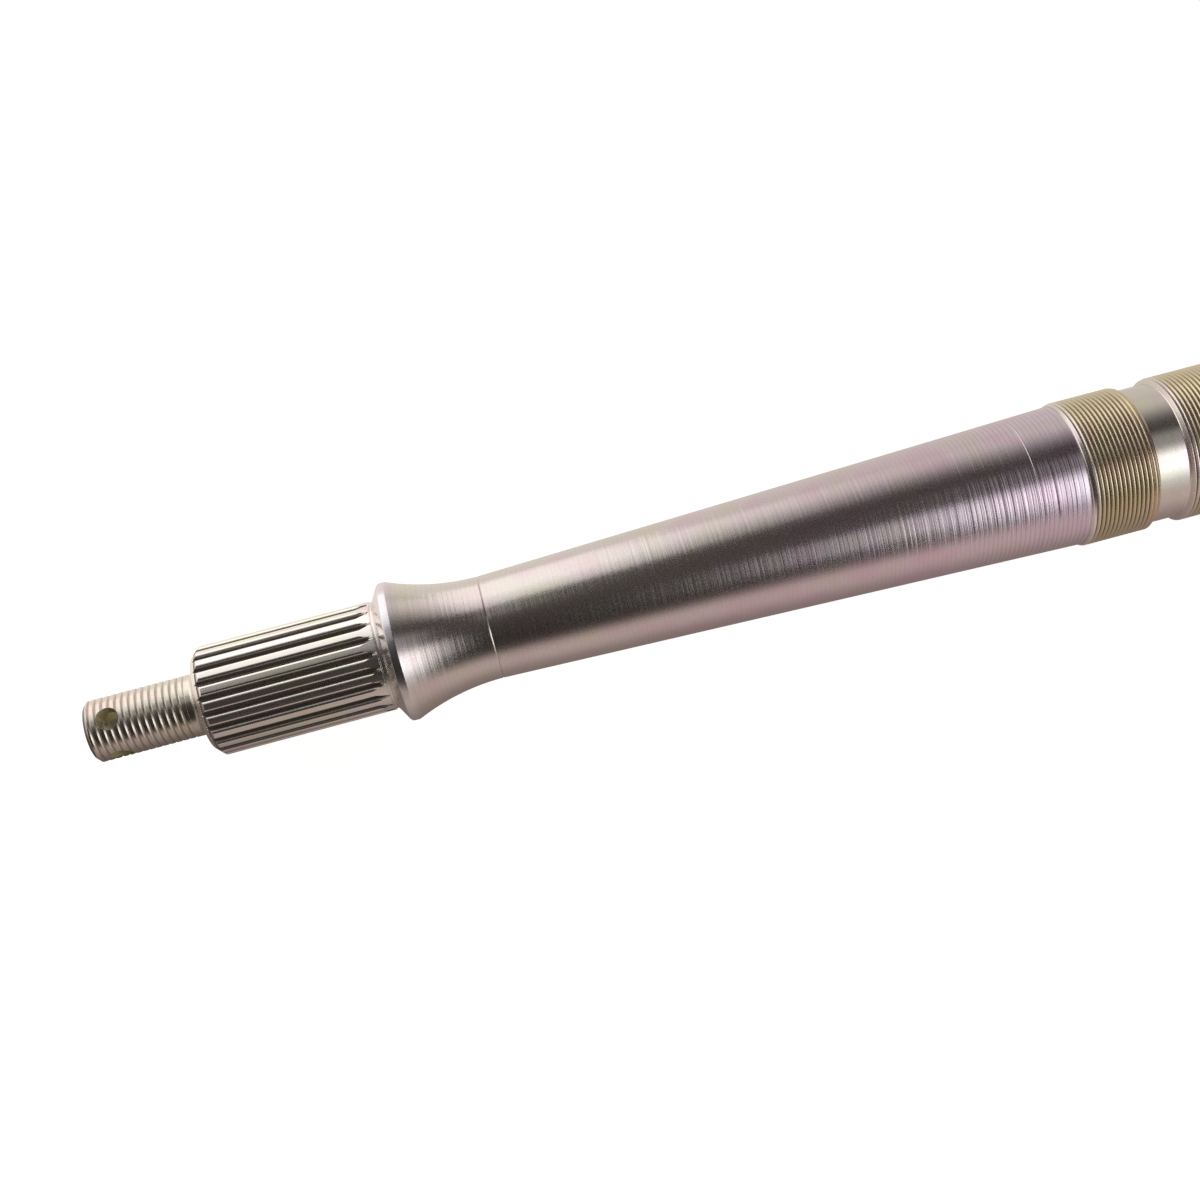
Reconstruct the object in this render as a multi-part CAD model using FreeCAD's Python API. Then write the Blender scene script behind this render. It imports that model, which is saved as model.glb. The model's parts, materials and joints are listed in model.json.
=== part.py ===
import FreeCAD, Part
import math
import os

# Rear axle shaft of a small four-wheeled off-road machine, turned from one steel bar.
# Millimetres. The shaft lies along X with its middle at the origin, and +Z is up.
# Both ends are alike. The sizes below follow one end from its end face inwards,
# and every place along the shaft is the running sum of the lengths before it.

overall_length = 840.0

# Threaded stub for the wheel nut
stub_diameter = 13.75
stub_length = 24.4
stub_end_chamfer = 1.0
stub_root_cone = 0.5
lathe_centre_diameter = 3.0
lathe_centre_angle = 60.0

# Two cotter holes that cross in the stub
cotter_hole_diameter = 5.0
cotter_hole_from_end = 5.5
cotter_hole_spare = 2.0

# Wheel hub spline. Its turn is the angle from the upright cotter hole to a tooth space.
hub_spline_length = 40.7
hub_spline_diameter = 24.5
hub_spline_depth = 1.3
hub_spline_teeth = 22
hub_spline_tooth_top = 1.35
hub_spline_turn = 2.6
hub_face_cone_width = 0.85
hub_start_chamfer = 1.9

# Relief band, round shoulder and flare behind the hub
relief_step = 0.25
relief_width = 0.35
shoulder_angle = 60.0
shoulder_foot_cone = 0.3
shoulder_diameter = 31.2
shoulder_rounding = 0.6
shoulder_land = 2.1
flare_radius = 50.0
waist_diameter = 23.1

# Long cone up to the ring threads
cone_length = 132.07
cone_end_diameter = 31.9

# Two ring nut threads with a plain groove behind each
ring_thread_diameter = 33.0
ring_thread_length = 14.0
ring_thread_start = 1.2
ring_groove_diameter = 30.7
ring_groove_width = 6.8
ring_groove_runout = 1.0
ring_groove_rise = 0.7

# Spline for the sprocket hub or the brake disc hub
drive_spline_length = 38.0
drive_spline_diameter = 34.6
drive_spline_depth = 1.4
drive_spline_teeth = 30
drive_spline_tooth_top = 1.5
drive_spline_turn = 0.0
drive_start_chamfer = 2.0
drive_relief_diameter = 31.4
drive_relief_width = 3.0

# Bearing seat and plain middle
bearing_seat_diameter = 35.0
bearing_seat_length = 22.0
bearing_seat_chamfer = 0.4
bearing_seat_end_slope = 2.0
middle_diameter = 33.0

# Cutter that forms the tooth spaces of both splines
spline_flank_angle = 30.0
spline_cutter_radius = 5.0
spline_cutter_swing = 65.0
cutter_overrun = 1.0


class Outline:
    """A chain of straight and round edges in the plane of X and Z."""

    def __init__(self, x, z):
        self.last = FreeCAD.Vector(x, 0, z)
        self.edges = []

    def line_to(self, x, z):
        point = FreeCAD.Vector(x, 0, z)
        self.edges.append(Part.LineSegment(self.last, point).toShape())
        self.last = point

    def arc_to(self, middle, end):
        point = FreeCAD.Vector(end[0], 0, end[1])
        through = FreeCAD.Vector(middle[0], 0, middle[1])
        self.edges.append(Part.Arc(self.last, through, point).toShape())
        self.last = point

    def arc_about(self, centre, radius, start_angle, end_angle):
        """Round edge about a centre, from the last point, with angles from +X towards +Z."""
        middle_angle = (start_angle + end_angle) / 2
        self.arc_to(on_circle(centre, radius, middle_angle), on_circle(centre, radius, end_angle))


def on_circle(centre, radius, angle):
    turn = math.radians(angle)
    return centre[0] + radius * math.cos(turn), centre[1] + radius * math.sin(turn)


def stub_outline(outline, start):
    """Lathe centre, chamfered end and shank, up to the small cone at the hub face."""
    radius = stub_diameter / 2
    outline.line_to(start, lathe_centre_diameter / 2)
    outline.line_to(start, radius - stub_end_chamfer)
    outline.line_to(start + stub_end_chamfer, radius)
    end = start + stub_length
    outline.line_to(end - stub_root_cone, radius)
    outline.line_to(end, radius + stub_root_cone)
    return end


def hub_spline_outline(outline, start):
    """Steep face, start chamfer and tooth tops, then the step down to the relief band."""
    radius = hub_spline_diameter / 2
    tops_start = start + hub_face_cone_width + hub_start_chamfer
    outline.line_to(start + hub_face_cone_width, radius - hub_start_chamfer)
    outline.line_to(tops_start, radius)
    end = start + hub_spline_length
    outline.line_to(end, radius)
    outline.line_to(end + relief_step, radius - relief_step)
    return end + relief_step


def shoulder_outline(outline, start):
    """Relief band, steep cone, rounding, narrow land and the flare down to the waist."""
    band = hub_spline_diameter / 2 - relief_step
    top = shoulder_diameter / 2
    band_end = start + relief_width
    foot_end = band_end + shoulder_foot_cone
    outline.line_to(band_end, band)
    outline.line_to(foot_end, band + shoulder_foot_cone)
    rounding_low = on_circle((0, top - shoulder_rounding), shoulder_rounding, 90 + shoulder_angle)
    rise = rounding_low[1] - band - shoulder_foot_cone
    cone_top = foot_end + rise / math.tan(math.radians(shoulder_angle))
    rounding_centre = (cone_top - rounding_low[0], top - shoulder_rounding)
    outline.line_to(cone_top, rounding_low[1])
    outline.arc_about(rounding_centre, shoulder_rounding, 90 + shoulder_angle, 90)
    land_end = rounding_centre[0] + shoulder_land
    outline.line_to(land_end, top)
    return flare_outline(outline, land_end)


def flare_outline(outline, start):
    """Hollow curve from the shoulder to the waist, level where it meets the waist."""
    waist = waist_diameter / 2
    drop = shoulder_diameter / 2 - waist
    reach = math.sqrt(2 * flare_radius * drop - drop ** 2)
    centre = (start + reach, waist + flare_radius)
    lean = math.degrees(math.asin(reach / flare_radius))
    outline.arc_about(centre, flare_radius, -90 - lean, -90)
    return start + reach


def ring_thread_outline(outline, start, rise):
    """One ring nut thread at its outside diameter, with the plain groove behind it."""
    thread_end = start + rise + ring_thread_length
    groove_start = thread_end + ring_groove_runout
    outline.line_to(start + rise, ring_thread_diameter / 2)
    outline.line_to(thread_end, ring_thread_diameter / 2)
    outline.line_to(groove_start, ring_groove_diameter / 2)
    outline.line_to(groove_start + ring_groove_width, ring_groove_diameter / 2)
    return groove_start + ring_groove_width


def drive_spline_outline(outline, start):
    """Chamfered start, tooth tops and the relief groove that the tooth spaces run out into."""
    radius = drive_spline_diameter / 2
    outline.line_to(start + drive_start_chamfer, radius)
    end = start + drive_spline_length
    outline.line_to(end, radius)
    outline.line_to(end, drive_relief_diameter / 2)
    outline.line_to(end + drive_relief_width, drive_relief_diameter / 2)
    return end + drive_relief_width


def bearing_seat_outline(outline, start):
    """Ground seat for the bearing, and the slope down to the plain middle."""
    radius = bearing_seat_diameter / 2
    outline.line_to(start, radius - bearing_seat_chamfer)
    outline.line_to(start + bearing_seat_chamfer, radius)
    end = start + bearing_seat_chamfer + bearing_seat_length
    outline.line_to(end, radius)
    outline.line_to(end + bearing_seat_end_slope, middle_diameter / 2)


def half_outline():
    """Every edge from one end face to the middle of the shaft, and where the splines lie."""
    end_face = -overall_length / 2
    centre_depth = lathe_centre_diameter / 2 / math.tan(math.radians(lathe_centre_angle / 2))
    outline = Outline(end_face + centre_depth, 0)
    hub_start = stub_outline(outline, end_face)
    relief_start = hub_spline_outline(outline, hub_start)
    waist = shoulder_outline(outline, relief_start)
    cone_end = waist + cone_length
    outline.line_to(cone_end, cone_end_diameter / 2)
    second_thread = ring_thread_outline(outline, cone_end, ring_thread_start)
    drive_start = ring_thread_outline(outline, second_thread, ring_groove_rise)
    seat_start = drive_spline_outline(outline, drive_start)
    bearing_seat_outline(outline, seat_start)
    outline.line_to(0, middle_diameter / 2)
    hub_place = (hub_start, relief_start - relief_step)
    drive_place = (drive_start, seat_start - drive_relief_width)
    return outline, hub_place, drive_place


def turned_shaft(half):
    """The half outline, its mirror image and the centre line, spun once round X."""
    mirrored = [edge.mirror(FreeCAD.Vector(0, 0, 0), FreeCAD.Vector(1, 0, 0)) for edge in half.edges]
    first = half.edges[0].Vertexes[0].Point
    centre_line = Part.LineSegment(first, FreeCAD.Vector(-first.x, 0, 0)).toShape()
    wire = Part.Wire(Part.__sortEdges__(half.edges + mirrored + [centre_line]))
    return Part.Face(wire).revolve(FreeCAD.Vector(0, 0, 0), FreeCAD.Vector(1, 0, 0), 360)


def space_section(x, tip_radius, depth, teeth, tooth_top):
    """Flat section of one tooth space that opens towards +Z, taller than the tooth."""
    root = tip_radius - depth
    outside = tip_radius + cutter_overrun
    flank_lean = math.tan(math.radians(spline_flank_angle))
    half_top = tip_radius * math.sin(math.pi / teeth - tooth_top / 2 / tip_radius)
    half_root = half_top - depth * flank_lean
    half_outside = half_top + cutter_overrun * flank_lean
    corners = [
        FreeCAD.Vector(x, half_root, root),
        FreeCAD.Vector(x, half_outside, outside),
        FreeCAD.Vector(x, -half_outside, outside),
        FreeCAD.Vector(x, -half_root, root),
    ]
    return Part.Face(Part.makePolygon(corners + corners[:1]))


def hub_space(start, end):
    """Tooth space of the wheel hub spline: straight, then curving out where the cutter lifts."""
    radius = hub_spline_diameter / 2
    depth = hub_spline_depth
    lift = end - math.sqrt(2 * spline_cutter_radius * depth - depth ** 2)
    section = space_section(lift, radius, depth, hub_spline_teeth, hub_spline_tooth_top)
    straight = section.extrude(FreeCAD.Vector(start - cutter_overrun - lift, 0, 0))
    cutter_axis = FreeCAD.Vector(lift, 0, radius - depth + spline_cutter_radius)
    curved = section.revolve(cutter_axis, FreeCAD.Vector(0, -1, 0), spline_cutter_swing)
    return straight.fuse(curved)


def drive_space(start, end):
    """Tooth space of the drive spline, open at both ends."""
    section = space_section(start - cutter_overrun, drive_spline_diameter / 2, drive_spline_depth,
                            drive_spline_teeth, drive_spline_tooth_top)
    return section.extrude(FreeCAD.Vector(end - start + 2 * cutter_overrun, 0, 0))


def spline_spaces(space, teeth, turn):
    """All the tooth spaces of one spline, evenly round the shaft."""
    spaces = []
    for index in range(teeth):
        copy = space.copy()
        angle = turn + index * 360.0 / teeth
        copy.rotate(FreeCAD.Vector(0, 0, 0), FreeCAD.Vector(1, 0, 0), -angle)
        spaces.append(copy)
    return spaces


def both_ends(shapes):
    """The shapes of one end, and the same turned end for end about Z for the other end."""
    turned = [shape.copy() for shape in shapes]
    for shape in turned:
        shape.rotate(FreeCAD.Vector(0, 0, 0), FreeCAD.Vector(0, 0, 1), 180)
    return shapes + turned


def cotter_holes():
    """Two round holes that cross at right angles on the centre line of the stub."""
    radius = cotter_hole_diameter / 2
    length = stub_diameter + 2 * cotter_hole_spare
    x = -overall_length / 2 + cotter_hole_from_end
    upright = Part.makeCylinder(radius, length, FreeCAD.Vector(x, 0, -length / 2), FreeCAD.Vector(0, 0, 1))
    level = Part.makeCylinder(radius, length, FreeCAD.Vector(x, -length / 2, 0), FreeCAD.Vector(0, 1, 0))
    return [upright.fuse(level)]


def axle_shaft():
    half, hub_place, drive_place = half_outline()
    cuts = spline_spaces(hub_space(*hub_place), hub_spline_teeth, hub_spline_turn)
    cuts += spline_spaces(drive_space(*drive_place), drive_spline_teeth, drive_spline_turn)
    cuts += cotter_holes()
    return turned_shaft(half).cut(both_ends(cuts))


os.makedirs("parts", exist_ok=True)
shaft = axle_shaft()
shaft.exportStep("parts/axle_shaft.step")
print("solids", len(shaft.Solids), "valid", shaft.isValid(), "volume", round(shaft.Volume))
print("box", shaft.BoundBox)
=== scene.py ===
import json
import math

import bmesh
import bpy
from mathutils import Matrix, Vector

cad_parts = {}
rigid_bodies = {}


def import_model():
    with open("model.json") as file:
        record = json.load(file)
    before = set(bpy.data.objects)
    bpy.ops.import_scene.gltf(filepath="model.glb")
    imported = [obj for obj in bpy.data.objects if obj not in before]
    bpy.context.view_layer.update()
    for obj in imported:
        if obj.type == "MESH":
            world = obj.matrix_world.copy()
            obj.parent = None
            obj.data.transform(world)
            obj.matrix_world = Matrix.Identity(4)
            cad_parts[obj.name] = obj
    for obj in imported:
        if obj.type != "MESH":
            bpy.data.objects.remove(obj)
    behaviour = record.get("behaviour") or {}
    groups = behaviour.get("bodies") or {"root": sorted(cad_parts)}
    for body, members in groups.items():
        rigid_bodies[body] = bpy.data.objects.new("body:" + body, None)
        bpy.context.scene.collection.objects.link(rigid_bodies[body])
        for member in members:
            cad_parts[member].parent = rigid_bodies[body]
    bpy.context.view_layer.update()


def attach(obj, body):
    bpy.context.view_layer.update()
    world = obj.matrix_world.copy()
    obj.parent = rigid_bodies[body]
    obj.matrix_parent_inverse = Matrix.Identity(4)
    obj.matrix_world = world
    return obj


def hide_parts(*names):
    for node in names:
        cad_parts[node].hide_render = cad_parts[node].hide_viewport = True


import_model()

# Axle shaft: one turned steel bar with threaded stubs, splines, ring threads and bearing
# seats, zinc plated. Lengths of the bar are in millimetres and follow the left end inwards.
# The other end is the same, turned end for end about Z.

MM = 0.001
AXIS = (1, 0, 0)
MIDDLE = (0, 0, 0)

# Points nearer than this become one, and a cut takes points this near as lying on it
WELD = 0.001 * MM
CUT_SLACK = 0.0001 * MM

# Facets round the bar, and the angle in degrees from which an edge stays sharp
BODY_FACETS = 144
SHARP_ANGLE = 28


def only(*pieces):
    """Leave nothing but these pieces selected, the first of them active."""
    bpy.ops.object.select_all(action="DESELECT")
    for piece in pieces:
        piece.select_set(True)
    bpy.context.view_layer.objects.active = pieces[0]


def edit(piece):
    """Edit the piece with all of it selected."""
    only(piece)
    bpy.ops.object.mode_set(mode="EDIT")
    bpy.ops.mesh.select_all(action="SELECT")


def leave_edit():
    """Go back to object mode, with points as what the next edit selects."""
    bpy.ops.mesh.select_mode(type="VERT")
    bpy.ops.object.mode_set(mode="OBJECT")


def leave_closed():
    """Turn every face outwards and leave edit mode."""
    bpy.ops.mesh.select_all(action="SELECT")
    bpy.ops.mesh.normals_make_consistent(inside=False)
    leave_edit()


def pick_faces(piece, wanted):
    """Select only the faces that the test wants."""
    bpy.ops.mesh.select_mode(type="FACE")
    bpy.ops.mesh.select_all(action="DESELECT")
    mesh = bmesh.from_edit_mesh(piece.data)
    for face in mesh.faces:
        if wanted(face):
            face.select_set(True)
    bmesh.update_edit_mesh(piece.data)


def pull(x):
    """Extrude what is selected along the axis."""
    bpy.ops.mesh.extrude_region_move(TRANSFORM_OT_translate={"value": (x * MM, 0, 0)})


def eased(points, steps=2):
    """The outline with every corner that has an ease rounded by that much."""
    line = [points[0][:2]]
    for before, corner, after in zip(points, points[1:], points[2:]):
        ease = corner[2] if len(corner) > 2 else 0
        here = Vector(corner[:2])
        if not ease:
            line.append(tuple(here))
            continue
        a = here + (Vector(before[:2]) - here).normalized() * ease
        b = here + (Vector(after[:2]) - here).normalized() * ease
        for step in range(steps + 1):
            t = step / steps
            line.append(tuple(a * (1 - t) ** 2 + here * 2 * t * (1 - t) + b * t ** 2))
    line.append(points[-1][:2])
    return line


def arc(centre, radius, start, end, steps):
    """Points of a round stretch, with angles from the axis outwards."""
    turns = [math.radians(start + (end - start) * step / steps) for step in range(steps + 1)]
    return [(centre[0] + radius * math.cos(t), centre[1] + radius * math.sin(t)) for t in turns]


def draw(name, points):
    """A chain of edges through the points, in millimetres, drawn point by point."""
    bpy.ops.object.select_all(action="DESELECT")
    bpy.ops.mesh.primitive_plane_add(size=MM)
    piece = bpy.context.object
    piece.name = piece.data.name = name
    bpy.ops.object.mode_set(mode="EDIT")
    bpy.ops.mesh.merge(type="CENTER")
    bpy.ops.transform.translate(value=Vector(points[0]) * MM)
    for here, there in zip(points, points[1:]):
        step = (Vector(there) - Vector(here)) * MM
        bpy.ops.mesh.extrude_vertices_move(TRANSFORM_OT_translate={"value": step})
    leave_edit()
    return piece


def turned(name, line):
    """A line of (x, radius) points spun once round the axis into a closed solid."""
    piece = draw(name, [(x, 0, r) for x, r in line])
    edit(piece)
    bpy.ops.mesh.spin(steps=BODY_FACETS, angle=2 * math.pi, center=MIDDLE, axis=AXIS)
    bpy.ops.mesh.select_all(action="SELECT")
    bpy.ops.mesh.remove_doubles(threshold=WELD)
    leave_closed()
    return piece


def combine(piece, tool, way):
    """Join, cut or keep the piece by the tool, which is used up."""
    change = piece.modifiers.new("combine", "BOOLEAN")
    change.operation = way
    change.solver = "MANIFOLD"
    change.object = tool
    only(piece)
    bpy.ops.object.modifier_apply(modifier=change.name)
    bpy.data.objects.remove(tool)


def copy_of(piece, matrix):
    """A copy with its own mesh, moved by the matrix."""
    only(piece)
    bpy.ops.object.duplicate()
    twin = bpy.context.object
    twin.data.transform(matrix)
    return twin


def joined(pieces):
    """The pieces made one object, under the first one's name."""
    only(*pieces)
    bpy.ops.object.join()
    return bpy.context.object


def other_end(tool):
    """The tool with its copy for the other end, joined into one."""
    return joined([tool, copy_of(tool, Matrix.Rotation(math.pi, 4, "Z"))])


def round_the_axis(tool, count, turn):
    """Copies of the tool evenly round the axis, the first one turned from +Z towards +Y."""
    step = 2 * math.pi / count
    copies = [copy_of(tool, Matrix.Rotation(-math.radians(turn) - index * step, 4, "X"))
              for index in range(count)]
    bpy.data.objects.remove(tool)
    return joined(copies)


# Outline from the left end to the middle: x, radius and how far a corner is eased
END_FACE = -420.0
STUB = [
    (-417.40, 0),
    (END_FACE, 1.5, 0.08),
    (END_FACE, 5.74, 0.05),
    (-419.52, 6.13),
    (-398.10, 6.13),
    (-397.50, 6.875, 0.10),
    (-396.25, 6.875, 0.25),
]
HUB_SPLINE_AND_SHOULDER = [
    (-395.60, 7.375, 0.10),
    (-394.75, 10.35, 0.10),
    (-392.85, 12.25, 0.10),
    (-354.90, 12.25, 0.06),
    (-354.65, 12.00, 0.06),
    (-354.30, 12.00, 0.06),
    (-354.00, 12.30, 0.06),
    (-352.095, 15.60, 0.50),
    (-350.45, 15.60, 0.15),
]
FLARE = arc(centre=(-330.735, 61.55), radius=50.0, start=-113.22, end=-90, steps=20)[1:]
LONG_CONE = [
    (-330.68, 11.552),
    (-330.40, 11.43),
    (-330.30, 11.564),
    (-208.86, 15.584),
    (-208.62, 15.525),
    (-208.54, 15.594),
    (-197.865, 15.95, 0.05),
]
RING_SEATS = [
    (-197.72, 15.86),
    (-182.17, 15.86),
    (-181.66, 15.35, 0.15),
    (-174.86, 15.35, 0.15),
    (-174.50, 15.86),
    (-159.70, 15.86),
    (-159.16, 15.35, 0.15),
]
DRIVE_SPLINE = [
    (-152.36, 15.35, 0.15),
    (-150.36, 17.30, 0.12),
    (-114.36, 17.30, 0.12),
    (-114.36, 15.70, 0.20),
]
BEARING_SEAT = [
    (-111.36, 15.70, 0.20),
    (-111.36, 17.10, 0.05),
    (-110.96, 17.495, 0.08),
    (-88.96, 17.495, 0.15),
    (-86.96, 16.50, 0.30),
    (0, 16.5),
]
OUTLINE = (STUB + HUB_SPLINE_AND_SHOULDER + FLARE + LONG_CONE + RING_SEATS + DRIVE_SPLINE
           + BEARING_SEAT)

# Blanks as (x, radius), to which the threads are cut: each gives a thread its chamfered ends.
# The inner ring thread is the outer one, moved by the ring step.
STUB_BLANK = [(-421, 0), (-421, 4.9), (-418, 7.9), (-396.6, 7.9), (-396.6, 0)]
OUTER_BLANK = [(-198.95, 0), (-198.95, 15.45), (-195.66, 16.958), (-183.06, 16.958),
               (-181.26, 14.89), (-181.26, 0)]
INNER_BLANK = [(-174.92, 0), (-174.92, 15.25), (-173.88, 16.96), (-160.56, 16.96),
               (-158.76, 14.89), (-158.76, 0)]
RING_STEP = 22.85


def threaded(name, start, end, crest, pitch, depth, steps, crest_flat, edge):
    """A right-handed threaded rod with flat ends, sharp roots and broken crest edges.

    The flat on the crest is a share of the pitch."""
    root = crest - depth
    middle = pitch / 2
    half_top = crest_flat * pitch / 2
    rise = [(middle - half_top - edge, crest - edge), (middle - half_top, crest)]
    turn = [(0, root)] + rise + [(pitch - x, r) for x, r in reversed(rise)] + [(pitch, root)]
    rod = draw(name, [(start - 2 * pitch + x, 0, r) for x, r in turn])
    screw = rod.modifiers.new("screw", "SCREW")
    screw.axis = "X"
    screw.screw_offset = pitch * MM
    screw.iterations = math.ceil((end - start) / pitch) + 3
    screw.steps = screw.render_steps = steps
    screw.use_merge_vertices = True
    screw.merge_threshold = WELD
    only(rod)
    bpy.ops.object.modifier_apply(modifier=screw.name)
    edit(rod)
    bpy.ops.mesh.remove_doubles(threshold=WELD)
    for x, beyond in ((start, "clear_inner"), (end, "clear_outer")):
        bpy.ops.mesh.select_all(action="SELECT")
        bpy.ops.mesh.bisect(plane_co=(x * MM, 0, 0), plane_no=AXIS, use_fill=True,
                            threshold=CUT_SLACK, **{beyond: True})
    leave_closed()
    return rod


def threads():
    """Threads of the stub and of both rings, each cut to its blank."""
    stub = threaded("stub", start=-419.90, end=-397.10, crest=6.87, pitch=1.5, depth=0.20,
                    steps=80, crest_flat=0.50, edge=0.03)
    outer = threaded("outer ring", start=-197.60, end=-182.20, crest=16.49, pitch=1.0,
                     depth=0.54, steps=112, crest_flat=0.16, edge=0.04)
    inner = copy_of(outer, Matrix.Translation((RING_STEP * MM, 0, 0)))
    for thread, blank in ((stub, STUB_BLANK), (outer, OUTER_BLANK), (inner, INNER_BLANK)):
        combine(thread, turned("blank", blank), "INTERSECT")
    return joined([stub, outer, inner])


# Half a tooth space: the hollow root as shares of its half width with heights over the root,
# the flank's lean and the angles of the points on the round tooth edge, in degrees, and the
# mouth outside the bar as steps out from the edge with heights over the tip
HOLLOW = ((0.35, 0.02), (0.70, 0.08), (1.0, 0.22))
FLANK_LEAN = 18
EDGE_ANGLES = (68, 54, 40, 26, 12, 0)
MOUTH = ((0.05, 0.10), (0.15, 1.0))

# Hub spline: its first space lies this many degrees from the top, and the cutter, given by
# its radius, lifts out at the end of each space through the last angle
HUB_TEETH = 22
HUB_TURN = 2.2
HUB_ROOT = 10.95
HUB_TOOTH = 1.3
HUB_START = -396.5
HUB_END = -354.7
CUTTER = 5.0
CUTTER_LIFT = 62

# Drive spline
DRIVE_TEETH = 30
DRIVE_START = -153.4
DRIVE_LENGTH = 40.0

# Cotter holes, which cross in the stub
COTTER_HOLE = -414.5
COTTER_RADIUS = 2.5
DRILL_LENGTH = 20
DRILL_FACETS = 64


def space_section(name, x, root, tip, land_edge, rounding):
    """Section of one tooth space above the axis: hollow root, leaning flanks, round edges."""
    meet = math.asin(land_edge / tip)
    centre = ((tip - rounding) * math.sin(meet), (tip - rounding) * math.cos(meet))
    edge = [(centre[0] - rounding * math.sin(t), centre[1] + rounding * math.cos(t))
            for t in map(math.radians, EDGE_ANGLES)]
    flank = edge[0][1] - root - HOLLOW[-1][1]
    foot = edge[0][0] - flank * math.tan(math.radians(FLANK_LEAN))
    half = [(foot * share, root + rise) for share, rise in HOLLOW] + edge
    half += [(edge[-1][0] + out, tip + rise) for out, rise in MOUTH]
    piece = draw(name, [(x, y, z) for y, z in half + [(-y, z) for y, z in reversed(half)]])
    edit(piece)
    bpy.ops.mesh.edge_face_add()
    leave_edit()
    return piece


def hub_space():
    """Tooth space of the hub spline, straight and then curving out where the cutter lifts."""
    lift = HUB_END - math.sqrt(2 * CUTTER * HUB_TOOTH - HUB_TOOTH ** 2)
    piece = space_section("hub space", lift, root=HUB_ROOT, tip=HUB_ROOT + HUB_TOOTH,
                          land_edge=1.26, rounding=0.68)
    edit(piece)
    bpy.ops.mesh.spin(steps=11, angle=math.radians(CUTTER_LIFT), axis=(0, 1, 0),
                      center=(lift * MM, 0, (HUB_ROOT + CUTTER) * MM))
    pick_faces(piece, lambda face: len(face.verts) > 4
               and abs(face.calc_center_median().x - lift * MM) < WELD)
    pull(HUB_START - lift)
    leave_closed()
    return piece


def drive_space():
    """Tooth space of the drive spline, open at both ends."""
    piece = space_section("drive space", DRIVE_START, root=15.90, tip=17.30, land_edge=1.16,
                          rounding=0.50)
    edit(piece)
    pull(DRIVE_LENGTH)
    leave_closed()
    return piece


def cotter_drill(turn):
    """A drill's path across the stub."""
    bpy.ops.object.select_all(action="DESELECT")
    bpy.ops.mesh.primitive_cylinder_add(
        vertices=DRILL_FACETS, radius=COTTER_RADIUS * MM, depth=DRILL_LENGTH * MM,
        location=(COTTER_HOLE * MM, 0, 0), rotation=(turn, 0, 0))
    only(bpy.context.object)
    bpy.ops.object.transform_apply()
    return bpy.context.object


def shaft_mesh():
    """The whole bar: turned, with its threads joined on and the spaces and holes cut out."""
    half = eased(OUTLINE)[:-1]
    shaft = turned("axle_shaft_body", half + [(-x, r) for x, r in reversed(half)])
    combine(shaft, other_end(threads()), "UNION")
    for tool in (round_the_axis(hub_space(), HUB_TEETH, HUB_TURN),
                 round_the_axis(drive_space(), DRIVE_TEETH, 0),
                 cotter_drill(0), cotter_drill(math.pi / 2)):
        combine(shaft, other_end(tool), "DIFFERENCE")
    return shaft


# Pieces that Blender starts with go where they are present
for spare in [piece for piece in bpy.data.objects if piece.name in ("Cube", "Light", "Camera")]:
    bpy.data.objects.remove(spare)

body = shaft_mesh()
only(body)
bpy.ops.object.shade_smooth_by_angle(angle=math.radians(SHARP_ANGLE))
even = body.modifiers.new("even shading", "WEIGHTED_NORMAL")
even.keep_sharp = True
bpy.ops.object.modifier_apply(modifier=even.name)
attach(body, "root")
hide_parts("axle_shaft")


def plain(hex_colour):
    """An sRGB hex colour as linear values for a socket."""
    parts = [int(hex_colour[start:start + 2], 16) / 255 for start in (1, 3, 5)]
    return [c / 12.92 if c <= 0.04045 else ((c + 0.055) / 1.055) ** 2.4 for c in parts] + [1]


def node(tree, kind, settings=(), **links):
    """Add a node, set its properties or ramp stops, and give its inputs values or links."""
    made = tree.nodes.new(kind)
    for key, value in dict(settings).items():
        if key == "stops":
            while len(made.color_ramp.elements) < len(value):
                made.color_ramp.elements.new(0.5)
            for element, (place, level) in zip(made.color_ramp.elements, value):
                element.position = place
                element.color = plain(level) if isinstance(level, str) else [level] * 3 + [1]
        elif key == "interpolation":
            made.color_ramp.interpolation = value
        else:
            setattr(made, key, value)
    for key, value in links.items():
        if key[1:].isdigit():
            socket = made.inputs[int(key[1:])]
        else:
            socket = made.inputs[key.replace("_", " ")]
        if isinstance(value, bpy.types.Node):
            value = value.outputs[0]
        if isinstance(value, bpy.types.NodeSocket):
            tree.links.new(value, socket)
        else:
            socket.default_value = value
    return made


# Studio: what the metal sees of the walls, by the angle round the shaft in degrees. 0 is
# level behind the shaft, 90 straight up and 180 level in front. The walls are pale low down
# and dark overhead, and the one past the left end is pale higher up behind.
ROOM = [(-180, "#CAB9B4"), (0, "#E6E0D8"), (15, "#EFE9E1"), (25, "#E9E3DA"), (35, "#D2CDC8"),
        (45, "#A5A09C"), (55, "#706C68"), (65, "#423E3B"), (75, "#45403D"), (98, "#4A4543"),
        (116, "#363230"), (140, "#2B2725"), (158, "#3A3634"), (165, "#6A615E"),
        (172, "#A69691"), (180, "#CAB9B4")]
LEFT_WALL = [(-180, "#A89A94"), (0, "#E2DCD4"), (60, "#E8E2DA"), (82, "#A5A09A"),
             (98, "#58524E"), (150, "#4A4541"), (165, "#6A625E"), (180, "#A89A94")]


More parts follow.
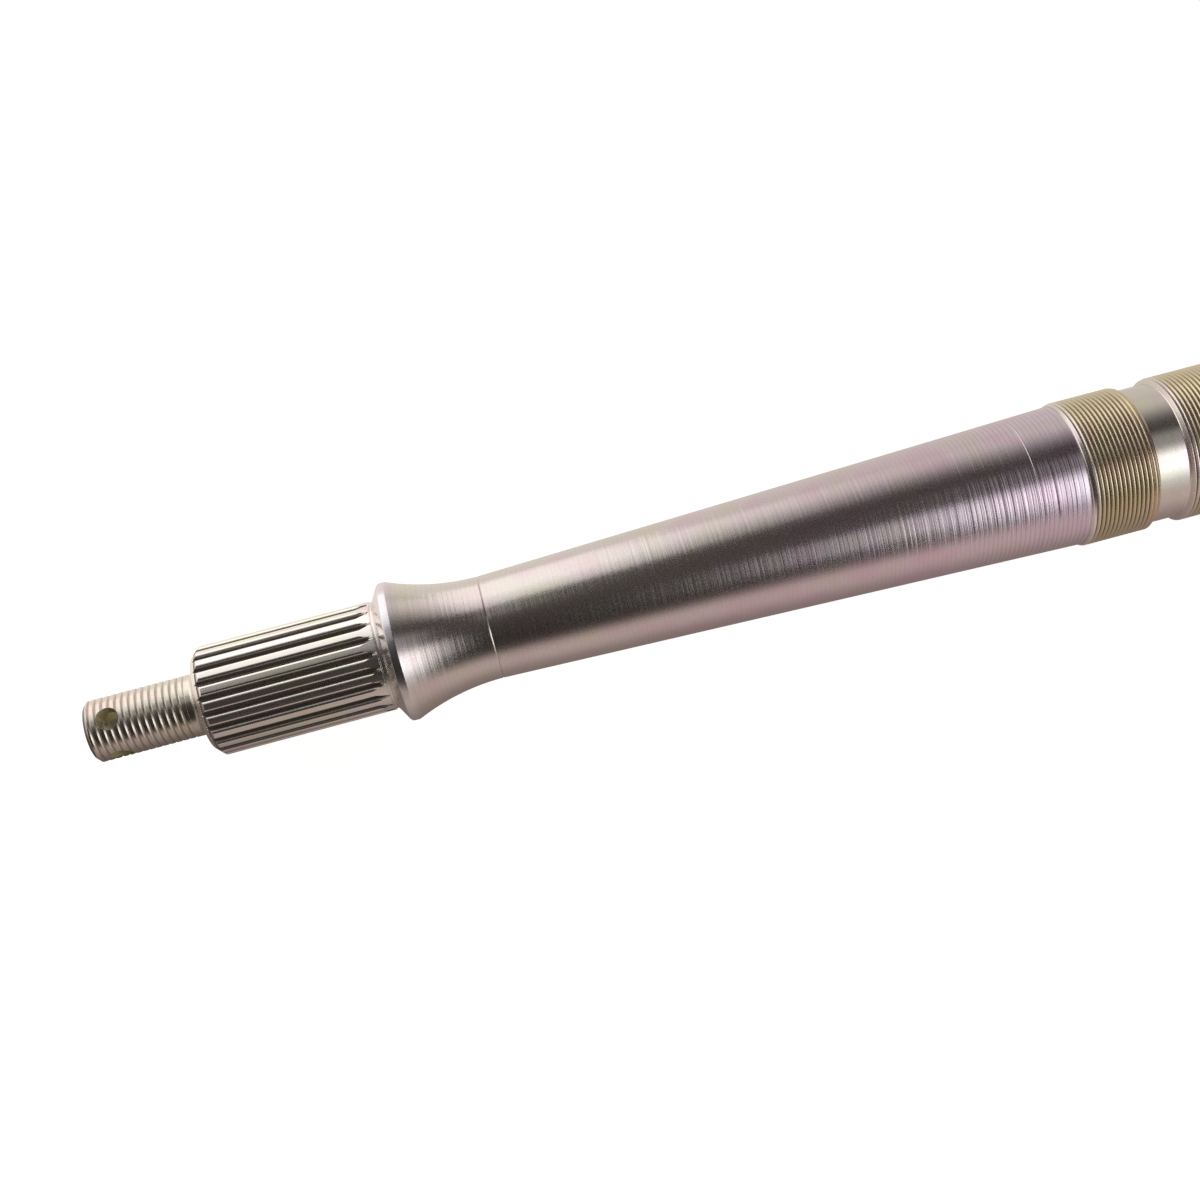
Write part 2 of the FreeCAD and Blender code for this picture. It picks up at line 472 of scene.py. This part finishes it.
def studio_world():
    """The walls for the metal, and plain white for the camera."""
    world = bpy.data.worlds.new("studio")
    bpy.context.scene.world = world
    world.use_nodes = True
    tree = world.node_tree
    tree.nodes.clear()
    way = node(tree, "ShaderNodeSeparateXYZ",
               _0=node(tree, "ShaderNodeTexCoord").outputs["Generated"])
    height = node(tree, "ShaderNodeMath", {"operation": "ARCTAN2"}, _0=way.outputs[2],
                  _1=way.outputs[1])
    place = node(tree, "ShaderNodeMapRange", _0=height.outputs[0], _1=-math.pi, _2=math.pi)
    walls, left_wall = [
        node(tree, "ShaderNodeValToRGB", Fac=place,
             settings={"stops": [(0.5 + angle / 360, level) for angle, level in colours]})
        for colours in (ROOM, LEFT_WALL)]
    # To the left the left wall takes over, and to the right the room is a little darker
    leftwards = node(tree, "ShaderNodeMapRange", {"interpolation_type": "SMOOTHSTEP"},
                     _0=way.outputs[0], _1=-0.55, _2=-0.85, _3=0.0, _4=1.0)
    rightwards = node(tree, "ShaderNodeMapRange", {"interpolation_type": "SMOOTHSTEP"},
                      _0=way.outputs[0], _1=-0.02, _2=0.22, _3=1.0, _4=0.84)
    faded = node(tree, "ShaderNodeVectorMath", {"operation": "SCALE"}, _0=walls,
                 Scale=rightwards)
    room = node(tree, "ShaderNodeMix", {"data_type": "RGBA"}, _0=leftwards, _6=faded,
                _7=left_wall)
    seen = node(tree, "ShaderNodeLightPath").outputs["Is Camera Ray"]
    colour = node(tree, "ShaderNodeMix", {"data_type": "RGBA"}, _0=seen, _6=room.outputs[2],
                  _7=plain("#FFFFFF"))
    back = node(tree, "ShaderNodeBackground", Color=colour.outputs[2], Strength=1.0)
    node(tree, "ShaderNodeOutputWorld", Surface=back.outputs[0])


# Soft lamps: the key lamps stand behind the left end, and the panels over the near side of
# the cone and of all that lies right of it. Each has its name, its left and right end and its
# angle round the shaft, its distance, its spread to each side of the angle and its level.
# Lengths are in metres, and angles in degrees, counted as for the walls.
LAMPS = [
    ("key softbox", -1.20, -0.28, 28, 0.300, 36, 0.62),
    ("key band", -1.20, -0.285, 46, 0.305, 15, 0.24),
    ("key top", -1.20, -0.345, 74, 0.310, 14, 0.32),
    ("key edge", -0.28, -0.20, 36, 0.315, 24, 0.22),
    ("panel edge", -0.207, -0.096, 127, 0.520, 15, 0.40),
    ("right panel", -0.092, 1.00, 134, 0.530, 25, 0.66),
    ("right panel core", -0.070, 1.00, 132, 0.540, 15, 0.62),
    ("right panel rim", -0.036, 1.00, 147, 0.550, 31, 0.36),
    ("right fill", 0.01, 1.00, 126, 0.560, 44, 0.30),
]


def softbox(name, left, right, angle, distance, spread, level):
    """A flat soft lamp along the shaft, whose level is the brightness of its face.

    Lamps that overlap add up in the metal, but they need different distances: of two faces
    in one plane it shows only one."""
    width = right - left
    height = 2 * distance * math.tan(math.radians(spread))
    lamp = bpy.data.lights.new(name, "AREA")
    lamp.shape = "RECTANGLE"
    lamp.size = width
    lamp.size_y = height
    lamp.energy = level * math.pi * width * height
    box = bpy.data.objects.new(name, lamp)
    away = Vector((0, math.cos(math.radians(angle)), math.sin(math.radians(angle))))
    side = Vector(AXIS)
    place = away * distance + side * (left + right) / 2
    facing = Matrix((side, away.cross(side), away)).transposed().to_4x4()
    box.matrix_world = Matrix.Translation(place) @ facing
    box.visible_camera = False
    bpy.context.scene.collection.objects.link(box)


# What the metal sees of the paper, by the distance behind the shaft in metres: painted light
# behind the shaft and a painted shadow just in front of it. Then how far to each side of the
# shaft the table goes, and the share of the camera's white that is glow
PAPER_PAINTED_LIGHT = [(-0.100, "#D0BFBA"), (-0.065, "#CDBCB7"), (-0.042, "#BBACA7"),
               (-0.032, "#AA9B96"), (-0.020, "#968782"), (-0.008, "#877872"),
               (0.000, "#A39590"), (0.012, "#D5D0C8"), (0.040, "#E6E0D7"), (0.100, "#E5DFD7")]
PAPER_REACH = 0.1
GLOW = 0.93


def floor_paint():
    """Matt paper. The camera sees it white, and as a little of that white is lamp light, the
    shaft has a faint shadow. The metal sees the paper glow with painted light behind the shaft
    and a painted shadow in front of it."""
    paint = bpy.data.materials.new("matt white paper, painted light for the metal")
    paint.use_nodes = True
    tree = paint.node_tree
    tree.nodes.clear()
    path = node(tree, "ShaderNodeLightPath")
    spot = node(tree, "ShaderNodeSeparateXYZ",
                _0=node(tree, "ShaderNodeTexCoord").outputs["Object"])
    back = node(tree, "ShaderNodeMapRange", _0=spot.outputs[1], _1=-PAPER_REACH, _2=PAPER_REACH)
    # Painted light and painted shadow on the paper, which only the metal sees
    painted_paper_light = node(tree, "ShaderNodeValToRGB", Fac=back, settings={
        "stops": [(0.5 + y / (2 * PAPER_REACH), colour) for y, colour in PAPER_PAINTED_LIGHT]})
    # Near the left end the metal sees painted light on the paper behind the shaft and a painted
    # shadow in front of it
    painted_light_left_back = node(tree, "ShaderNodeMapRange", _0=spot.outputs[0], _1=-0.44, _2=-0.22,
                     _3=1.4, _4=0.95)
    painted_shade_left_front = node(tree, "ShaderNodeMapRange", _0=spot.outputs[0], _1=-0.40, _2=-0.33,
                      _3=0.65, _4=1.0)
    behind = node(tree, "ShaderNodeMath", {"operation": "GREATER_THAN"}, _0=spot.outputs[1],
                  _1=0.0)
    painted_left_light = node(tree, "ShaderNodeMix", _0=behind.outputs[0], _2=painted_shade_left_front.outputs[0],
                 _3=painted_light_left_back.outputs[0])
    metal_sees = node(tree, "ShaderNodeMath", {"operation": "MAXIMUM"},
                      _0=path.outputs["Is Glossy Ray"], _1=path.outputs["Is Transmission Ray"])
    # The paper's glow for the metal carries this painted light and shadow
    own = node(tree, "ShaderNodeMath", {"operation": "MULTIPLY"}, _0=metal_sees.outputs[0],
               _1=painted_left_light.outputs[0])
    shown = node(tree, "ShaderNodeMath", {"operation": "MULTIPLY_ADD"},
                 _0=path.outputs["Is Camera Ray"], _1=GLOW, _2=own.outputs[0])
    shade = node(tree, "ShaderNodeMix", {"data_type": "RGBA"}, _0=path.outputs["Is Camera Ray"],
                 _6=painted_paper_light, _7=plain("#FFFFFF"))
    glow = node(tree, "ShaderNodeEmission", Color=shade.outputs[2], Strength=shown.outputs[0])
    matt_colour = node(tree, "ShaderNodeMix", {"data_type": "RGBA"}, _0=metal_sees.outputs[0],
                       _6=plain("#959595"), _7=plain("#000000"))
    matt = node(tree, "ShaderNodeBsdfDiffuse", Color=matt_colour.outputs[2])
    both = node(tree, "ShaderNodeAddShader", _0=matt.outputs[0], _1=glow.outputs[0])
    node(tree, "ShaderNodeOutputMaterial", Surface=both.outputs[0])
    return paint


# The next five tables go by the distance from the middle of the shaft, in millimetres

# Colour of the skin: silver pink on the plain steel, yellow on the threads, and a thin violet
# line where the shoulder and the cone end. The near-white bands on the ring threads' chamfers
# are painted highlights.
SKIN_AND_PAINTED_HIGHLIGHTS = [(0, "#D3CCCA"), (152.0, "#D3CCCA"), (152.6, "#D3CBBC"), (159.5, "#D3CBBC"),
        (160.2, "#DDD0B6"), (172.6, "#DDD0B6"), (173.4, "#EFE9E0"), (174.7, "#E2D8DA"),
        (176.5, "#D8D6CC"), (181.4, "#DAD6CF"), (182.4, "#DDD0B6"), (195.2, "#DDD0B6"),
        (196.2, "#EFE9E0"), (197.5, "#F2ECEA"), (197.9, "#BDB6CE"), (198.6, "#DCCEDB"),
        (235, "#D9C9D2"), (300, "#D4CCCB"), (340, "#D4CECA"), (349.2, "#D3CCC6"),
        (350.1, "#CFC8D0"), (350.6, "#C9C5D2"), (351.2, "#E2E2E6"), (354.0, "#E6E2DE"),
        (356, "#ECE8E1"), (394, "#ECE8E1"), (396, "#D8D1C7"), (420, "#D8D0C4")]

# Radius of the crests of teeth and threads, and 0 where there are none
CRESTS = [(0, 0), (114.4, 17.3), (150.4, 0), (160.45, 16.48), (173.9, 0), (182.9, 16.48),
          (196.5, 0), (354.9, 12.25), (392.9, 0), (396.2, 7.03), (419.2, 0)]

# Share of the lathe rings' relief
RINGS = [(0, 0.6), (86, 0.6), (89, 0.2), (111, 0.2), (114, 0.1), (152, 0.1), (160, 0.05),
         (174, 0.05), (175, 0.25), (181, 0.25), (183, 0.05), (197, 0.05), (198.2, 1.0),
         (232, 0.8), (250, 0.35), (329, 0.35), (330, 0.55), (349, 0.4), (351, 0.1), (420, 0.1)]

# Share of the frosted grain
FROST = [(0, 1.0), (150, 0.9), (153, 0.4), (197, 0.4), (199, 0.7), (240, 1.0), (330, 1.0),
         (349, 0.8), (352, 0.3), (420, 0.25)]

# Share of the dark lathe marks, scored in the relief and darkened with painted shade, which are
# densest at the large end of the cone
MARKS = [(0, 0.15), (86, 0.15), (88, 0.0), (197.8, 0.0), (198.4, 1.0), (218, 0.9),
         (228, 0.35), (262, 0.20), (329, 0.15), (349, 0.20), (351, 0.0), (420, 0.0)]

# Object coordinates are in metres, and patterns that run round the shaft are stretched that
# many times across its axis
PER_MM = 1000.0
ROUND_SCALE = 40.0

# Sizes of the tint's clouds and of the frosted grain in mm
CLOUD_SIZE = 9
FROST_GRAIN = 0.34

# Lathe rings, the streaks between them and the dark marks, in mm. The real feed is about
# 0.2 mm, and they are drawn coarser so that they show.
RING_SPACING = 1.1
STREAK_SPACING = 0.45
MARK_SPACING = 1.05

# A wave texture of scale 1 repeats after this length
WAVE_LENGTH = math.pi / 10

# Parts of that wave's height at which a dark mark begins and is full
MARK_START, MARK_FULL = 0.72, 0.95

# Relief in mm
RING_HEIGHT = 0.09
STREAK_HEIGHT = 0.030
MARK_HEIGHT = -0.018
FROST_HEIGHT = 0.012

# Roughness of the grain's low and high spots
SMOOTHEST, ROUGHEST = 0.21, 0.30

# A ramp holds the crests' radii as shares of this one
RADIUS_SCALE = 20.0

# Depths in mm under the crests at which the painted shade and grime in the roots begin and
# are thickest
ROOT_SHADE_AND_GRIME_START, ROOT_SHADE_AND_GRIME_FULL = 0.20, 0.62

# Walls of the cotter holes: the middle and half the length of their stretch of the stub in
# metres, and the radius in mm up to which the skin there is theirs and not the thread's
HOLES_MIDDLE, HOLES_REACH, HOLES_RADIUS = 0.4136, 0.0056, 6.6

# Colours that lie over the skin, and how much of it they cover at most
# The roots' dark brown is painted shade and grime, and the marks' grey is painted shade
ROOT_SHADE_AND_GRIME, ROOT_SHADE_AND_GRIME_COVER = "#5C5046", 0.92
MARK_PAINTED_SHADE, MARK_COVER = "#6A6264", 0.24
HOLE_SKIN, HOLE_COVER = "#D4CBA0", 0.9


def placed(stops, interpolation="LINEAR"):
    """Settings of a colour ramp whose stops are given in mm from the middle."""
    return {"stops": [(mm / -END_FACE, level) for mm, level in stops],
            "interpolation": interpolation}


def plated_steel():
    """Turned steel with yellow passivated zinc: satin, a little pink, with lathe rings and
    fine frosted grain.

    The zinc gives soft reflections with warm edges. The roots of teeth and threads are darker
    and less metallic with painted shade and grime, the lathe marks are darkened with painted
    shade, and the ring threads' chamfers have painted highlights."""
    metal = bpy.data.materials.new("turned steel, yellow passivated zinc")
    metal.use_nodes = True
    tree = metal.node_tree
    tree.nodes.clear()
    at = node(tree, "ShaderNodeTexCoord").outputs["Object"]
    way = node(tree, "ShaderNodeSeparateXYZ", _0=at)
    out = node(tree, "ShaderNodeMath", {"operation": "ABSOLUTE"}, _0=way.outputs[0])
    along = node(tree, "ShaderNodeMath", {"operation": "DIVIDE"}, _0=out, _1=-END_FACE * MM)
    across = node(tree, "ShaderNodeVectorMath", {"operation": "MULTIPLY"}, _0=at,
                  _1=(0, PER_MM, PER_MM))
    radius = node(tree, "ShaderNodeVectorMath", {"operation": "LENGTH"},
                  _0=across).outputs["Value"]

    # Skin with pale clouds of pink and green, and painted highlights on the ring threads'
    # chamfers
    skin_and_highlights = node(tree, "ShaderNodeValToRGB", placed(SKIN_AND_PAINTED_HIGHLIGHTS), Fac=along)
    cloud = node(tree, "ShaderNodeTexNoise", Vector=at, Scale=PER_MM / CLOUD_SIZE, Detail=2.0,
                 Roughness=0.5)
    tint = node(tree, "ShaderNodeValToRGB", Fac=cloud, settings={
        "stops": [(0.36, "#FFF7FB"), (0.5, "#FFFFFF"), (0.64, "#FDFFF4")]})
    tinted = node(tree, "ShaderNodeMix", {"data_type": "RGBA", "blend_type": "MULTIPLY"},
                  _0=1.0, _6=skin_and_highlights, _7=tint)

    # Painted shade and grime between the teeth and in the threads, dark lathe marks with
    # painted shade, and yellow cotter holes
    crest_stops = placed([(mm, r / RADIUS_SCALE) for mm, r in CRESTS], "CONSTANT")
    crest_share = node(tree, "ShaderNodeValToRGB", crest_stops, Fac=along)
    crest = node(tree, "ShaderNodeMath", {"operation": "MULTIPLY"}, _0=crest_share,
                 _1=RADIUS_SCALE)
    depth = node(tree, "ShaderNodeMath", {"operation": "SUBTRACT"}, _0=crest, _1=radius)
    in_stub = node(tree, "ShaderNodeMath", {"operation": "COMPARE"}, _0=out, _1=HOLES_MIDDLE,
                   _2=HOLES_REACH)
    near_axis = node(tree, "ShaderNodeMath", {"operation": "LESS_THAN"}, _0=radius,
                     _1=HOLES_RADIUS)
    in_hole = node(tree, "ShaderNodeMath", {"operation": "MULTIPLY"}, _0=in_stub, _1=near_axis)
    # Painted shade and grime: the deeper under the crest, the darker and the less metallic
    root = node(tree, "ShaderNodeMapRange", _0=depth, _1=ROOT_SHADE_AND_GRIME_START, _2=ROOT_SHADE_AND_GRIME_FULL,
                _3=0.0, _4=ROOT_SHADE_AND_GRIME_COVER)
    bare_metal = node(tree, "ShaderNodeMath", {"operation": "SUBTRACT"}, _0=1.0, _1=root)
    root_shade_and_grime = node(tree, "ShaderNodeMix", {"data_type": "RGBA"}, _0=root,
                  _6=tinted.outputs[2], _7=plain(ROOT_SHADE_AND_GRIME))
    stretched = node(tree, "ShaderNodeVectorMath", {"operation": "DIVIDE"}, _0=at,
                     _1=(1, ROUND_SCALE, ROUND_SCALE))
    wide = node(tree, "ShaderNodeTexNoise", Vector=stretched, Scale=PER_MM / RING_SPACING,
                Detail=1.0, Roughness=0.4)
    wave = node(tree, "ShaderNodeTexWave", {"wave_type": "BANDS", "bands_direction": "X"},
                Vector=stretched, Scale=PER_MM / MARK_SPACING * WAVE_LENGTH, Distortion=2.2,
                Detail=1.0, Detail_Scale=0.35)
    mark = node(tree, "ShaderNodeMapRange", _0=wave, _1=MARK_START, _2=MARK_FULL, _3=0.0,
                _4=1.0)
    mark_share = node(tree, "ShaderNodeValToRGB", placed(MARKS), Fac=along)
    mark_here = node(tree, "ShaderNodeMath", {"operation": "MULTIPLY"}, _0=mark, _1=mark_share)
    # The marks' darker colour is painted shade, for the dark room they reflect
    mark_painted_shade = node(tree, "ShaderNodeMath", {"operation": "MULTIPLY"}, _0=mark_here,
                  _1=MARK_COVER)
    marks_and_painted_shade = node(tree, "ShaderNodeMix", {"data_type": "RGBA"}, _0=mark_painted_shade,
                  _6=root_shade_and_grime.outputs[2], _7=plain(MARK_PAINTED_SHADE))
    drilled = node(tree, "ShaderNodeMath", {"operation": "MULTIPLY"}, _0=in_hole,
                   _1=HOLE_COVER)
    base = node(tree, "ShaderNodeMix", {"data_type": "RGBA"}, _0=drilled,
                _6=marks_and_painted_shade.outputs[2], _7=plain(HOLE_SKIN))

    # Relief and roughness
    fine = node(tree, "ShaderNodeTexNoise", Vector=stretched, Scale=PER_MM / STREAK_SPACING,
                Detail=2.0, Roughness=0.6)
    grain = node(tree, "ShaderNodeTexNoise", Vector=at, Scale=PER_MM / FROST_GRAIN,
                 Detail=2.0, Roughness=0.6)
    rings = node(tree, "ShaderNodeMath", {"operation": "MULTIPLY"}, _0=wide, _1=RING_HEIGHT)
    lathe = node(tree, "ShaderNodeMath", {"operation": "MULTIPLY_ADD"}, _0=fine,
                 _1=STREAK_HEIGHT, _2=rings)
    turned_here = node(tree, "ShaderNodeMath", {"operation": "MULTIPLY"}, _0=lathe,
                       _1=node(tree, "ShaderNodeValToRGB", placed(RINGS), Fac=along))
    frost = node(tree, "ShaderNodeMath", {"operation": "MULTIPLY"}, _0=grain,
                 _1=node(tree, "ShaderNodeValToRGB", placed(FROST), Fac=along))
    scored = node(tree, "ShaderNodeMath", {"operation": "MULTIPLY_ADD"}, _0=mark_here,
                  _1=MARK_HEIGHT, _2=turned_here)
    relief = node(tree, "ShaderNodeMath", {"operation": "MULTIPLY_ADD"}, _0=frost,
                  _1=FROST_HEIGHT, _2=scored)
    uneven = node(tree, "ShaderNodeBump", Strength=1.0, Distance=MM, Height=relief)
    rough = node(tree, "ShaderNodeMapRange", _0=grain, _1=0.3, _2=0.7, _3=SMOOTHEST,
                 _4=ROUGHEST)
    surface = node(tree, "ShaderNodeBsdfPrincipled", Base_Color=base.outputs[2],
                   Metallic=bare_metal, Roughness=rough, Normal=uneven)
    node(tree, "ShaderNodeOutputMaterial", Surface=surface)
    return metal


body.data.materials.clear()
body.data.materials.append(plated_steel())
studio_world()
for lamp in LAMPS:
    softbox(*lamp)

# Camera: nearly above the flare, leaning to the near side, with its picture turned by the
# shaft's slope. Places are in metres along the axis, angles in degrees.
CAMERA_X = -0.3242
AIM_X = -0.30537
CAMERA_LEAN = 18
CAMERA_DISTANCE = 0.34665
SHAFT_SLOPE = 14.836

lean = math.radians(CAMERA_LEAN)
seat = Vector((CAMERA_X, 0, 0)) + Vector((0, -math.sin(lean), math.cos(lean))) * CAMERA_DISTANCE
forward = (Vector((AIM_X, 0, 0)) - seat).normalized()
along = (Vector(AXIS) - forward * forward.x).normalized()
level = Matrix((along, (-forward).cross(along), -forward)).transposed()
slope = Matrix.Rotation(-math.radians(SHAFT_SLOPE), 3, "Z")
lens = bpy.data.cameras.new("camera")
lens.lens = 46.95
lens.sensor_width = 36
lens.clip_start = 0.01
lens.clip_end = 50
camera = bpy.data.objects.new("camera", lens)
camera.matrix_world = Matrix.Translation(seat) @ (level @ slope).to_4x4()
bpy.context.scene.collection.objects.link(camera)
bpy.context.scene.camera = camera
bpy.context.scene.view_settings.view_transform = "Standard"

# Paper under the lowest point of the shaft
FLOOR_SIZE = 8
FLOOR_LEVEL = -0.0175
bpy.ops.mesh.primitive_plane_add(size=FLOOR_SIZE, location=(0, 0, FLOOR_LEVEL))
floor = bpy.context.object
floor.name = "floor"
only(floor)
bpy.ops.object.transform_apply(location=True)
floor.data.materials.append(floor_paint())
